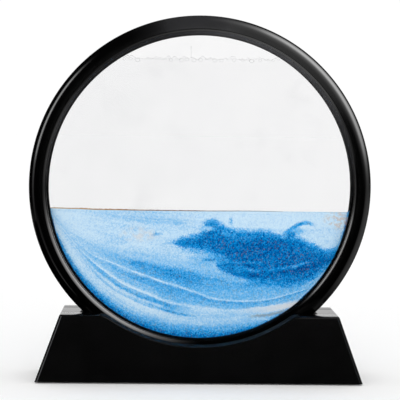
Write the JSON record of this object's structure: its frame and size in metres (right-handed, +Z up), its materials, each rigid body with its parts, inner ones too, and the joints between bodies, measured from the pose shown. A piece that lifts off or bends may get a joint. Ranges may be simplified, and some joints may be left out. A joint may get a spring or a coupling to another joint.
{
  "type": "moving sand art frame",
  "caption": "Round black frame with glass panes round a thin cell of liquid and coloured sand, standing in the slot of a trapezoid base; turned over so that the sand falls again.",
  "frame": {"origin": "centre of the footprint, on the table under the foot pads", "axes": "+Z up, +X along the stand to the viewer's right, the viewed face looks along -Y"},
  "size_m": [0.18, 0.0464, 0.1913],
  "materials": {
    "black_gloss": "gloss",
    "black_matte": "matte",
    "rubber": "matte",
    "glass": "polished",
    "seal": "matte",
    "liquid": "gloss",
    "sand_blue": "matte",
    "sand_pale": "matte",
    "sand_mid": "matte",
    "sand_deep": "matte",
    "sand_gold": "matte"
  },
  "bodies": {
    "stand": {"stand_shell": "black_gloss", "stand_bottom_cover": "black_matte", "foot_pad_front_left": "rubber", "foot_pad_front_right": "rubber", "foot_pad_rear_left": "rubber", "foot_pad_rear_right": "rubber"},
    "contents": {"liquid": "liquid", "sand_floor": "sand_blue", "sand_drift": "sand_pale", "sand_sweep": "sand_mid", "sand_swell": "sand_pale", "sand_dune": "sand_deep", "sand_cap": "sand_pale", "sand_gold": "sand_gold"},
    "frame": {"front_bezel": "black_gloss", "rear_bezel": "black_gloss", "front_glass": "glass", "rear_glass": "glass", "spacer_ring": "black_gloss", "front_seal": "seal", "rear_seal": "seal", "fill_plug": "rubber"}
  },
  "joints": [
    {"name": "frame_lift", "type": "slide", "parent": "stand", "child": "contents", "axis": [0, 0, 1], "range_m": [0, 0.06]},
    {"name": "frame_turn", "type": "hinge", "parent": "contents", "child": "frame", "pos_m": [0, 0, 0.1013], "axis": [0, 1, 0], "continuous": true}
  ]
}
